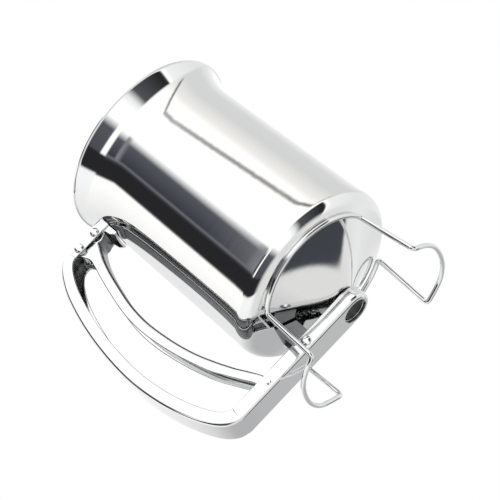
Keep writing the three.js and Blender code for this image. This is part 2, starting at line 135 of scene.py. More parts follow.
def by_length(points: Array, steps: int) -> Array:
    """Points spaced evenly along a polyline.

    Args:
        points: the polyline.
        steps: how many equal spans come out.

    Returns:
        steps + 1 points on it.
    """
    gaps = np.linalg.norm(np.diff(points, axis=0), axis=1)
    along = np.concatenate([[0.0], np.cumsum(gaps)])
    wanted = np.linspace(0, along[-1], steps + 1)
    return np.stack([np.interp(wanted, along, points[:, k]) for k in range(points.shape[1])], 1)


def left_of(line: Array) -> Array:
    """Unit normals on the left-hand side of a line in a plane: its direction turned a quarter turn.

    Args:
        line: the line's points, two coordinates a row.

    Returns:
        One normal a row.
    """
    along = np.gradient(line, axis=0)
    along /= np.linalg.norm(along, axis=1, keepdims=True)
    return np.stack([-along[:, 1], along[:, 0]], 1)


def arc(centre: Sequence[float], radius: float, start: float, stop: float, steps: int) -> Array:
    """Centre plus radius times (cos, sin) of an angle that runs from start to stop."""
    angle = np.linspace(start, stop, steps + 1)
    return np.asarray(centre) + radius * np.stack([np.cos(angle), np.sin(angle)], 1)


# --------------------------------------------------------------------------- meshes


def mesh_piece(
    name: str,
    points: Array,
    faces: Sequence[Sequence[int]],
    sharp_deg: float = 40,
    marks: Sequence[int] | None = None,
) -> bpy.types.Object:
    """Makes a mesh object with doubles merged, normals outwards and smooth shading up to an angle.

    Args:
        name: the piece's name.
        points: its vertices in the pot's millimetres, one a row.
        faces: vertex numbers of each face.
        sharp_deg: edges bent by more than this stay sharp.
        marks: the material number of each face, 0 for all if left out.

    Returns:
        The object, at the origin.
    """
    data = bpy.data.meshes.new(name)
    data.from_pydata(placed(points).tolist(), [], [list(f) for f in faces])
    if marks is not None:
        data.polygons.foreach_set("material_index", marks)
    return finish_mesh(name, data, sharp_deg)


def finish_mesh(name: str, data: bpy.types.Mesh, sharp_deg: float) -> bpy.types.Object:
    """Merges doubles, points the faces outwards and links the mesh as an object.

    Args:
        name: the object's name.
        data: its mesh, in the frame's metres.
        sharp_deg: edges bent by more than this stay sharp.

    Returns:
        The object, at the origin.
    """
    shell = bmesh.new()
    shell.from_mesh(data)
    bmesh.ops.remove_doubles(shell, verts=shell.verts, dist=MERGE_M)
    bmesh.ops.dissolve_degenerate(shell, edges=shell.edges, dist=NO_LENGTH_M)
    bmesh.ops.recalc_face_normals(shell, faces=shell.faces)
    shell.to_mesh(data)
    shell.free()
    data.update()
    piece = bpy.data.objects.new(name, data)
    bpy.context.scene.collection.objects.link(piece)
    data.shade_smooth()
    data.set_sharp_from_angle(angle=math.radians(sharp_deg))
    return piece


def grid_faces(rows: int, columns: int, wrap_rows: bool = False, wrap_columns: bool = False) -> Array:
    """Quads of a grid whose vertex number is row times columns plus column.

    Args:
        rows: how many rows of vertices.
        columns: how many vertices in each.
        wrap_rows: join the last row to the first.
        wrap_columns: join the last column to the first.

    Returns:
        One quad a row.
    """
    r = np.arange(rows if wrap_rows else rows - 1)
    c = np.arange(columns if wrap_columns else columns - 1)
    r, c = (m.ravel() for m in np.meshgrid(r, c, indexing="ij"))
    r1, c1 = (r + 1) % rows, (c + 1) % columns
    return np.stack([r * columns + c, r * columns + c1, r1 * columns + c1, r1 * columns + c], 1)


def turned(
    profile: Array, segments: int, axis: Axis = Axis.UP, at: Sequence[float] = (0, 0, 0)
) -> tuple[Array, Array]:
    """A surface of revolution: (radius cos a, radius sin a, height) for each profile point and angle a.

    Args:
        profile: (radius, height) points. It ends on the axis, or closes on itself.
        segments: steps round the axis.
        axis: which way the axis points, +Z or +Y.
        at: where the axis's origin lies, in the pot's millimetres.

    Returns:
        Vertices and quads.
    """
    angle = np.linspace(0, 2 * math.pi, segments, endpoint=False)
    radius, height = profile[:, :1], profile[:, 1:]
    flat = np.ones_like(angle)
    points = np.stack([radius * np.cos(angle), radius * np.sin(angle), height * flat], -1)
    if axis is Axis.ACROSS:
        points = np.stack([points[..., 0], points[..., 2], -points[..., 1]], -1)
    points = points.reshape(-1, 3) + np.asarray(at, float)
    return points, grid_faces(len(profile), segments, wrap_columns=True)


def swept(path: Array, radius: float, sides: int) -> tuple[Array, list[list[int]]]:
    """A round bar along a path: at each point, radius times (cos a, sin a) in a frame carried without twist.

    Args:
        path: the centre line in the pot's millimetres.
        radius: the bar's radius.
        sides: how many sides the round has.

    Returns:
        Vertices and faces, both ends closed.
    """
    along = np.gradient(path, axis=0)
    along /= np.linalg.norm(along, axis=1, keepdims=True)
    side = np.zeros_like(path)
    side[0] = np.cross(along[0], [0.0, 0.0, 1.0])
    side[0] /= np.linalg.norm(side[0])
    for i in range(1, len(path)):
        side[i] = side[i - 1] - along[i] * np.dot(side[i - 1], along[i])
        side[i] /= np.linalg.norm(side[i])
    up = np.cross(along, side)
    angle = np.linspace(0, 2 * math.pi, sides, endpoint=False)[None, :, None]
    points = path[:, None] + radius * (side[:, None] * np.cos(angle) + up[:, None] * np.sin(angle))
    faces = grid_faces(len(path), sides, wrap_columns=True).tolist()
    faces.append(list(range(sides))[::-1])
    faces.append([(len(path) - 1) * sides + k for k in range(sides)])
    return points.reshape(-1, 3), faces


@dataclass(frozen=True)
class ChannelStations:
    """Where a pressed channel's section stands at each step along it.

    base is the web's outer face on the middle plane, into points from the web towards the open side,
    across points from the middle plane to the flange, inner and outer are the distances along it at
    which the web starts and the flange ends, and height is the flange's height.
    """

    base: Array
    into: Array
    across: Array
    inner: Array
    outer: Array
    height: Array

    def joined(self, other: "ChannelStations") -> "ChannelStations":
        """These stations followed by the others."""
        pairs = [np.concatenate([getattr(self, k), getattr(other, k)]) for k in self.__dataclass_fields__]
        return ChannelStations(*pairs)

    def mirrored_back(self) -> "ChannelStations":
        """The same stations on the other side of the middle plane, in the opposite order.

        Returns:
            The mirrored stations.
        """
        flip = np.array([1.0, -1.0, 1.0])
        vectors = [self.base * flip, self.into * flip, self.across * flip]
        back = [*vectors, self.inner, self.outer, self.height]
        return ChannelStations(*[k[::-1] for k in back])


def channel_shell(
    stations: ChannelStations, sheet: float, bend: Array, edge: Array
) -> tuple[Array, list, list]:
    """A pressed channel: half a U section, with a bent corner and a rounded edge, carried along stations.

    In each station's (across, into) plane the outer line runs from the web's start to the bend's arc and
    up to the flange's edge, and the inner line is the same line set back by the sheet's thickness.

    Args:
        stations: where each section stands.
        sheet: the sheet's thickness.
        bend: the corner's outer radius at each station.
        edge: the radius of the flange's rounded edge at each station.

    Returns:
        Vertices, faces (the ends and the web's own inner edges closed) and each face's material number,
        1 on the web's and the bend's hollow side, which takes the darker steel as painted shade.
    """
    corner = np.linspace(-math.pi / 2, 0, ARC_POINTS)
    lip = np.linspace(0, math.pi, ARC_POINTS)
    n = len(stations.base)
    w, h = stations.outer[:, None], stations.height[:, None]
    start, b, e = stations.inner[:, None], bend[:, None], edge[:, None]
    web = np.linspace(0, 1, WEB_POINTS + 1)[None, :-1]
    outer_a = np.concatenate([start + (w - b - start) * web, w - b + b * np.cos(corner)], 1)
    outer_n = np.concatenate([np.zeros((n, WEB_POINTS)), b + b * np.sin(corner)], 1)
    lip_a = w - e + e * np.cos(lip)
    lip_n = h - e + e * np.sin(lip)
    small = b - sheet
    inner_a = np.concatenate([start + (w - b - start) * web, w - b + small * np.cos(corner)], 1)
    inner_n = np.concatenate([np.full((n, WEB_POINTS), sheet), b + small * np.sin(corner)], 1)
    a = np.concatenate([outer_a, lip_a, inner_a[:, ::-1]], 1)
    d = np.concatenate([outer_n, lip_n, inner_n[:, ::-1]], 1)
    count = a.shape[1]
    along = stations.across[:, None] * a[..., None]
    points = stations.base[:, None] + along + stations.into[:, None] * d[..., None]
    faces = grid_faces(n, count).tolist()
    inside_from = WEB_POINTS + 2 * ARC_POINTS
    # Faces past inside_from get material 1, the darker steel that paints shade on the hollow side.
    marks = [int(k % (count - 1) > inside_from) for k in range(len(faces))]
    hole = np.flatnonzero((stations.inner[:-1] > 1e-6) | (stations.inner[1:] > 1e-6))
    faces += [[i * count, (i + 1) * count, (i + 2) * count - 1, (i + 1) * count - 1] for i in hole.tolist()]
    for i in (0, n - 1):
        first = i * count
        last = first + count - 1
        faces += [[first + k, first + k + 1, last - k - 1, last - k] for k in range(count // 2)]
    return points.reshape(-1, 3), faces, marks + [0] * (len(faces) - len(marks))


# --------------------------------------------------------------------------- finishes


class Nodes:
    """A short way to build a node tree: makes nodes, sets their inputs and links them."""

    def __init__(self, tree: bpy.types.NodeTree) -> None:
        """Starts on an empty or emptied tree."""
        self.tree = tree

    def add(self, kind: str, inputs: dict | None = None, **settings: object) -> bpy.types.Node:
        """Makes a node.

        Args:
            kind: its bpy type name.
            inputs: input name or number to a constant or to an output socket.
            settings: attributes of the node.

        Returns:
            The node.
        """
        node = self.tree.nodes.new(kind)
        for key, value in settings.items():
            setattr(node, key, value)
        for key, value in (inputs or {}).items():
            if isinstance(value, bpy.types.NodeSocket):
                self.tree.links.new(value, node.inputs[key])
            else:
                node.inputs[key].default_value = value
        return node

    def math(self, operation: str, a: object, b: object = 0.0, clamp: bool = False) -> bpy.types.NodeSocket:
        """One step of arithmetic on values."""
        node = self.add("ShaderNodeMath", {0: a, 1: b}, operation=operation, use_clamp=clamp)
        return node.outputs[0]

    def ramp(self, value: object, stops: Sequence[tuple], smooth: bool = False) -> bpy.types.NodeSocket:
        """A colour ramp.

        Args:
            value: what drives it, 0 to 1.
            stops: (place, colour) pairs, a colour being one grey or an (r, g, b).
            smooth: ease between the stops.

        Returns:
            Its colour output.
        """
        node = self.add("ShaderNodeValToRGB", {"Fac": value})
        line = node.color_ramp
        line.interpolation = "EASE" if smooth else "LINEAR"
        while len(line.elements) < len(stops):
            line.elements.new(0.5)
        # All places come before any colour, because an element that passes another changes its number.
        ordered = sorted(stops, key=lambda stop: stop[0])
        for element, (place, _) in zip(line.elements, ordered):
            element.position = place
        for element, (_, colour) in zip(line.elements, ordered):
            rgb = (colour,) * 3 if isinstance(colour, (int, float)) else colour
            element.color = (*rgb, 1.0)
        return node.outputs["Color"]

    def mix(self, share: object, a: object, b: object) -> bpy.types.NodeSocket:
        """A blend of two colours."""
        node = self.add("ShaderNodeMix", {0: share, 6: a, 7: b}, data_type="RGBA")
        return node.outputs[2]

    def map(
        self, value: object, low: float, high: float, to_low: float, to_high: float
    ) -> bpy.types.NodeSocket:
        """A value carried from one range to another, held at the ends."""
        inputs = {"Value": value, "From Min": low, "From Max": high, "To Min": to_low, "To Max": to_high}
        return self.add("ShaderNodeMapRange", inputs).outputs[0]

    def noise(
        self, vector: object, scale: object, detail: float = 2.0, rough: float = 0.5
    ) -> bpy.types.NodeSocket:
        """Noise, as a value."""
        inputs = {"Vector": vector, "Scale": scale, "Detail": detail, "Roughness": rough}
        return self.add("ShaderNodeTexNoise", inputs).outputs[0]

    def stretched(self, scale: Sequence[float], vector: object) -> bpy.types.NodeSocket:
        """A vector scaled differently along each axis."""
        return self.add("ShaderNodeMapping", {"Vector": vector, "Scale": tuple(scale)}).outputs[0]


def new_group(name: str, inputs: dict[str, float], outputs: dict[str, str]) -> Nodes:
    """Starts a shader node group.

    Args:
        name: the group's name.
        inputs: each value input and its default.
        outputs: each output and its socket type.

    Returns:
        A builder for the group's nodes.
    """
    group = bpy.data.node_groups.new(name, "ShaderNodeTree")
    for key, default in inputs.items():
        socket = group.interface.new_socket(key, in_out="INPUT", socket_type="NodeSocketFloat")
        socket.default_value = default
    for key, kind in outputs.items():
        group.interface.new_socket(key, in_out="OUTPUT", socket_type=kind)
    return Nodes(group)


def handling_group() -> None:
    """Fingerprints, wiped smears and fine dust: a mask that is high where the metal has been touched."""
    n = new_group("handling_marks", {"Amount": 0.5}, {"Mask": "NodeSocketFloat"})
    given = n.add("NodeGroupInput")
    place = n.add("ShaderNodeTexCoord").outputs["Object"]
    patch = n.noise(place, 34.0, 3.0, 0.6)
    smear = n.noise(n.stretched((1.0, 1.0, 0.35), place), 150.0, 5.0, 0.65)
    fine = n.noise(place, 900.0, 2.0, 0.5)
    touched = n.map(patch, 0.5, 0.72, 0.0, 1.0)
    wiped = n.map(smear, 0.42, 0.7, 0.15, 1.0)
    mask = n.math("MULTIPLY", touched, wiped)
    mask = n.math("ADD", mask, n.map(fine, 0.55, 0.8, 0.0, 0.18))
    mask = n.math("MULTIPLY", mask, given.outputs["Amount"], clamp=True)
    n.add("NodeGroupOutput", {"Mask": mask})


def wear_group() -> None:
    """Edge wear: a mask that is high on outward edges, broken up by noise."""
    n = new_group("edge_wear", {"Amount": 1.0}, {"Mask": "NodeSocketFloat"})
    given = n.add("NodeGroupInput")
    pointed = n.add("ShaderNodeNewGeometry").outputs["Pointiness"]
    place = n.add("ShaderNodeTexCoord").outputs["Object"]
    edge = n.map(pointed, 0.52, 0.6, 0.0, 1.0)
    broken = n.map(n.noise(place, 420.0, 4.0, 0.6), 0.35, 0.65, 0.2, 1.0)
    mask = n.math("MULTIPLY", n.math("MULTIPLY", edge, broken), given.outputs["Amount"], clamp=True)
    n.add("NodeGroupOutput", {"Mask": mask})


def spun_group() -> None:
    """Polishing lines round an upright axis: noise that hardly changes round it and fast along it.

    The height counts together with a share of the radius, so that the funnel bottom has rings as well.
    """
    outputs = {"Lines": "NodeSocketFloat", "Waves": "NodeSocketFloat"}
    n = new_group("spun_lines", {"Fineness": 1.0}, outputs)
    given = n.add("NodeGroupInput")
    place = n.add("ShaderNodeTexCoord").outputs["Object"]
    parts = n.add("ShaderNodeSeparateXYZ", {0: place}).outputs
    x = n.math("SUBTRACT", parts[0], AXIS_X * MM)
    squares = n.math("ADD", n.math("MULTIPLY", x, x), n.math("MULTIPLY", parts[1], parts[1]))
    radius = n.math("SQRT", squares)
    height = n.math("ADD", parts[2], n.math("MULTIPLY", radius, RING_SLOPE))
    turn = n.math("MULTIPLY", n.math("ARCTAN2", parts[1], x), TURN_LENGTH)
    both = n.add("ShaderNodeCombineXYZ", {0: turn, 1: 0.0, 2: height}).outputs[0]
    scale = n.math("MULTIPLY", given.outputs["Fineness"], 2600.0)
    fine = n.noise(both, scale, 3.0, 0.6)
    broad = n.noise(both, 170.0, 2.0, 0.5)
    n.add("NodeGroupOutput", {"Lines": fine, "Waves": broad})


@dataclass(frozen=True)
class Steel:
    """Stainless steel: how dark, how smooth, and how much it shows lines, handling and worn edges."""

    name: str
    tint: tuple[float, float, float]
    roughness: float
    lines: float = 0.04
    handling: float = 0.5
    wear: float = 0.6
    spun: bool = False
    grain: tuple[float, float, float] = (60.0, 900.0, 900.0)
    relief: float = 0.25
    relief_m: float = 0.000012
    touched_tint: float = 0.93
    worn_tint: float = 1.06
    touched_rough: float = 0.09
    worn_rough: float = 0.06

    def material(self) -> bpy.types.Material:
        """The finished material, made once.

        Base colour is the tint, darker in touched patches and a little lighter on worn edges; roughness
        rises with the polishing lines and the handling marks; the lines also give a fine bump.

        Returns:
            The material.
        """
        made = bpy.data.materials.get(self.name)
        if made is not None:
            return made
        made = bpy.data.materials.new(self.name)
        made.use_nodes = True
        made.node_tree.nodes.clear()
        n = Nodes(made.node_tree)
        touched = self.placed_group(n, "handling_marks", {"Amount": self.handling}).outputs["Mask"]
        worn = self.placed_group(n, "edge_wear", {"Amount": self.wear}).outputs["Mask"]
        lines, waves = self.line_fields(n)
        dark = tuple(k * self.touched_tint for k in self.tint) + (1.0,)
        light = tuple(min(1.0, k * self.worn_tint) for k in self.tint) + (1.0,)
        colour = n.mix(n.math("MULTIPLY", touched, 0.8), (*self.tint, 1.0), dark)
        colour = n.mix(worn, colour, light)
        rough = n.math("ADD", n.math("MULTIPLY", lines, self.lines), self.roughness - self.lines * 0.5)
        rough = n.math("ADD", rough, n.math("MULTIPLY", touched, self.touched_rough))
        rough = n.math("ADD", rough, n.math("MULTIPLY", worn, self.worn_rough), clamp=True)
        height = n.math("ADD", lines, n.math("MULTIPLY", waves, 4.0))
        inputs = {"Strength": self.relief, "Distance": self.relief_m, "Height": height}
        bump = n.add("ShaderNodeBump", inputs)
        shader = n.add(
            "ShaderNodeBsdfPrincipled",
            {"Base Color": colour, "Roughness": rough, "Metallic": 1.0, "Normal": bump.outputs[0]},
        )
        n.add("ShaderNodeOutputMaterial", {"Surface": shader.outputs[0]})
        return made

    @staticmethod
    def placed_group(n: Nodes, name: str, values: dict[str, float]) -> bpy.types.Node:
        """A shared group placed in a material with its own values.

        Args:
            n: the material's builder.
            name: the group's name.
            values: each input's name and value.

        Returns:
            The group's node.
        """
        node = n.add("ShaderNodeGroup", node_tree=bpy.data.node_groups[name])
        for key, value in values.items():
            node.inputs[key].default_value = value
        return node

    def line_fields(self, n: Nodes) -> tuple[bpy.types.NodeSocket, bpy.types.NodeSocket]:
        """The fine lines and the broad waves of the polish: round the axis, or along a drawn direction.

        Args:
            n: the material's builder.

        Returns:
            The lines and the waves.
        """
        if self.spun:
            spun = self.placed_group(n, "spun_lines", {"Fineness": 1.0})
            return spun.outputs["Lines"], spun.outputs["Waves"]
        place = n.add("ShaderNodeTexCoord").outputs["Object"]
        lines = n.noise(n.stretched(self.grain, place), 3.0, 4.0, 0.6)
        return lines, n.noise(place, 120.0, 2.0, 0.5)


@dataclass(frozen=True)
class Silicone:
    """Matt black silicone with moulding grain, pale dust and slightly shiny rubbed places."""

    name: str = "black_silicone"
    tint: tuple[float, float, float] = (0.022, 0.023, 0.026)

    def material(self) -> bpy.types.Material:
        """The finished material.

        Returns:
            The material.
        """
        made = bpy.data.materials.new(self.name)
        made.use_nodes = True
        made.node_tree.nodes.clear()
        n = Nodes(made.node_tree)
        place = n.add("ShaderNodeTexCoord").outputs["Object"]
        grain = n.noise(place, 1400.0, 3.0, 0.6)
        dust = n.map(n.noise(place, 260.0, 4.0, 0.65), 0.5, 0.8, 0.0, 0.35)
        colour = n.mix(dust, (*self.tint, 1.0), (0.11, 0.11, 0.115, 1.0))
        rough = n.map(n.noise(place, 120.0, 3.0, 0.5), 0.3, 0.7, 0.42, 0.62)
        bump = n.add("ShaderNodeBump", {"Strength": 0.35, "Distance": 0.00004, "Height": grain})
        values = {"Base Color": colour, "Roughness": rough, "Normal": bump.outputs[0]}
        shader = n.add("ShaderNodeBsdfPrincipled", values)
        n.add("ShaderNodeOutputMaterial", {"Surface": shader.outputs[0]})
        return made


MIRROR = (0.80, 0.803, 0.805)
CUP_STEEL = Steel("spun_mirror_steel", MIRROR, 0.045, lines=0.03, handling=0.35, spun=True)
STRAP_STEEL = Steel("pressed_mirror_steel", MIRROR, 0.07, grain=(900.0, 60.0, 900.0), relief=0.1)
# Darker, rougher steel for the channels' hollow sides and the cone bracket: painted shade, because those
# places lie in shade.
SHADE_PAINTED_STEEL = Steel(
    "channel_shade_painted_steel",
    (0.24, 0.242, 0.248),
    0.34,
    lines=0.02,
    handling=0.15,
    grain=(40.0, 40.0, 40.0),
    relief=0.01,
)
WIRE_STEEL = Steel("drawn_wire_steel", (0.76, 0.765, 0.77), 0.08, handling=0.3, grain=(300.0,) * 3)
RIVET_STEEL = Steel("rivet_head_steel", (0.82, 0.823, 0.825), 0.08, handling=0.2, grain=(500.0,) * 3)
SATIN_STEEL = Steel(
    "brushed_inner_steel", (0.62, 0.625, 0.63), 0.24, lines=0.14, grain=(50.0, 1100.0, 1100.0)
)
SPRING_STEEL = Steel("drawn_spring_steel", (0.48, 0.485, 0.5), 0.26, lines=0.1, grain=(900.0,) * 3)


def dress(
    piece: bpy.types.Object, body: Body, slot: Slot, material: bpy.types.Material, *nodes: str
) -> None:
    """Gives a new piece its material and its body, and hides the CAD nodes that it stands for.

    Args:
        piece: the new piece.
        body: the rigid body that it rides on.
        slot: not used.
        material: what it is made of.
        nodes: the CAD nodes that it replaces.
    """
    if piece.data.materials:
        piece.data.materials.clear()
    piece.data.materials.append(material)
    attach(piece, body.value)
    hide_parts(*nodes)
    LOG.info("%s rides on %s and stands for %s", piece.name, body.value, ", ".join(nodes))


def softened(name: str, node: str, width: float, sharp_deg: float = 32) -> bpy.types.Object:
    """A copy of a CAD node with its facets merged, its edges rounded and its faces shaded smooth.

    Args:
        name: the new piece's name.
        node: the CAD node that is copied.
        width: the edge rounding in millimetres.
        sharp_deg: edges bent by more than this are rounded.

    Returns:
        The new piece.
    """
    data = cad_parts[node].data.copy()
    shell = bmesh.new()
    shell.from_mesh(data)
    bmesh.ops.remove_doubles(shell, verts=shell.verts, dist=MERGE_M)
    flat = math.radians(FLAT_DEG)
    bmesh.ops.dissolve_limit(shell, angle_limit=flat, verts=shell.verts, edges=shell.edges)
    shell.to_mesh(data)
    shell.free()
    data.name = name
    if data.has_custom_normals:
        data.normals_split_custom_set([(0, 0, 0)] * len(data.loops))
    piece = finish_mesh(name, data, sharp_deg)
    rounding = piece.modifiers.new("rounded_edges", "BEVEL")
    rounding.width = width * MM
    rounding.segments = 2
    rounding.limit_method = "ANGLE"
    rounding.angle_limit = math.radians(sharp_deg)
    rounding.harden_normals = True
    rounding.use_clamp_overlap = True
    return piece


def bored(piece: bpy.types.Object, holes: Sequence[tuple], sharp_deg: float) -> bpy.types.Object:
    """Cuts holes along Y right through a piece.

    Args:
        piece: the piece, a closed mesh.
        holes: (x, z, radius, half the slot's height) of each hole in the pot's millimetres.
        sharp_deg: edges bent by more than this stay sharp.

    Returns:
        The same piece with its new mesh.
    """
    cutters = []
    for x, z, radius, slot in holes:
        top = arc((x, z + slot), radius, 0, math.pi, 24)
        low = arc((x, z - slot), radius, math.pi, 2 * math.pi, 24)
        ring = np.concatenate([top, low])
        ends = (-PAST_BOTH_SIDES, PAST_BOTH_SIDES)
        sides = [np.stack([ring[:, 0], np.full(len(ring), y), ring[:, 1]], 1) for y in ends]
        count = len(ring)
        faces = [[k, (k + 1) % count, count + (k + 1) % count, count + k] for k in range(count)]
        faces += [list(range(count)), list(range(count, 2 * count))]
        cutters.append(mesh_piece("hole_cutter", np.concatenate(sides), faces))
        cut = piece.modifiers.new("hole", "BOOLEAN")
        cut.operation = "DIFFERENCE"
        cut.solver = "EXACT"
        cut.object = cutters[-1]
    bpy.context.view_layer.update()
    ready = piece.evaluated_get(bpy.context.evaluated_depsgraph_get())
    data = bpy.data.meshes.new_from_object(ready)
    piece.modifiers.clear()
    piece.data = data
    data.shade_smooth()
    data.set_sharp_from_angle(angle=math.radians(sharp_deg))
    for cutter in cutters:
        bpy.data.objects.remove(cutter)
    return piece


# --------------------------------------------------------------------------- sub-assemblies


@dataclass
class Cup:
    """The spun cup with its rolled lip, and the ring round the outlet."""

    wall_radius: float = WALL_RADIUS
    neck_radius: float = 50.4
    neck_z: float = 108.0
    rim_radius: float = 55.66
    rim_z: float = 131.86
    lip: float = 0.9
    shoulder: float = 9.5
    cone_angle: float = CONE_ANGLE
    shoulder_slope: float = math.radians(20.5)
    outlet: float = 8.4
    bore: float = 6.2
    sheet: float = 1.0
    ring_gap: float = 0.3
    ring_low: float = -22.7
    ring_edges: tuple[float, float] = (0.5, 0.3)
    flare_foot: tuple[float, float] = (0.1, 11.0)
    flare_head: tuple[float, float] = (3.2, 6.0)
    segments: int = 288

    @property
    def outlet_z(self) -> float:
        """The height of the bottom's outer edge at the outlet, on the mean cone."""
        return -(self.wall_radius - self.outlet) * math.tan(self.cone_angle)

    def bottom(self, steps: int) -> Array:
        """The bottom's outer line (radius, z): a parabola, steepest beside the outlet.

        Args:
            steps: how many spans it is cut into.

        Returns:
            The line from the outlet to the shoulder.
        """
        foot = self.wall_radius - self.shoulder * (1 - math.sin(self.shoulder_slope))
        radius = np.linspace(self.outlet, foot, steps + 1)
        share = (radius - self.outlet) / (foot - self.outlet)
        mean, last = math.tan(self.cone_angle), math.tan(self.shoulder_slope)
        z = self.outlet_z + (2 * mean - last + (last - mean) * share) * (radius - self.outlet)
        return np.stack([radius, z], 1)

    def outline(self) -> Array:
        """The outer line (radius, z): bottom, shoulder arc, tapered wall and the flare's cubic curve.

        Returns:
            The line from the outlet to the rim.
        """
        cone = self.bottom(24)
        centre_z = cone[-1, 1] + self.shoulder * math.cos(self.shoulder_slope)
        centre = (self.wall_radius - self.shoulder, centre_z)
        bend = arc(centre, self.shoulder, -math.pi / 2 + self.shoulder_slope, 0, 20)
        s = np.linspace(0, 1, 31)[:, None]
        p = [
            np.array([self.neck_radius, self.neck_z]),
            np.array([self.neck_radius - self.flare_foot[0], self.neck_z + self.flare_foot[1]]),
            np.array([self.rim_radius - self.flare_head[0], self.rim_z - self.flare_head[1]]),
            np.array([self.rim_radius - self.lip * 0.6, self.rim_z - self.lip]),
        ]
        flare = (1 - s) ** 3 * p[0] + 3 * s * (1 - s) ** 2 * p[1] + 3 * s**2 * (1 - s) * p[2] + s**3 * p[3]
        wall = np.linspace(bend[-1], flare[0], 16)[1:-1]
        return np.concatenate([cone[:-1], bend, wall, flare])

    def shell(self) -> bpy.types.Object:
        """The closed sheet: the outer line, the lip's bead and the line set back by the sheet, turned.

        Returns:
            The cup's piece.
        """
        outer = self.outline()
        inner = outer + left_of(outer) * self.sheet
        bead_at = (self.rim_radius - self.lip, self.rim_z - self.lip)
        bead = arc(bead_at, self.lip, -0.3, math.pi * 0.95, 12)
        profile = np.concatenate([outer[:-1], bead, inner[:-1][::-1], outer[:1]])
        points, faces = turned(profile, self.segments)
        return mesh_piece("cup_shell", points, faces, 50)

    def ring(self) -> bpy.types.Object:
        """The outlet ring: a turned band with rounded lower edges, just below the bottom's edge.

        Returns:
            The ring's piece.
        """
        wide, fine = self.ring_edges
        top = self.outlet_z - self.ring_gap
        outer = arc((self.outlet - wide, self.ring_low + wide), wide, 0, -math.pi / 2, 6)
        inner = arc((self.bore + fine, self.ring_low + fine), fine, -math.pi / 2, -math.pi, 6)
        ends = np.array([[self.bore, top], [self.outlet, top]])
        profile = np.concatenate([ends, outer, inner, ends[:1]])
        points, faces = turned(profile, 96)
        return mesh_piece("outlet_collar", points, faces)

    def build(self) -> None:
        """Makes and dresses both pieces."""
        dress(self.shell(), Body.POT, Slot.POLISHED, CUP_STEEL.material(), "cup_body")
        dress(self.ring(), Body.POT, Slot.SATIN, SATIN_STEEL.material(), "outlet_ring")


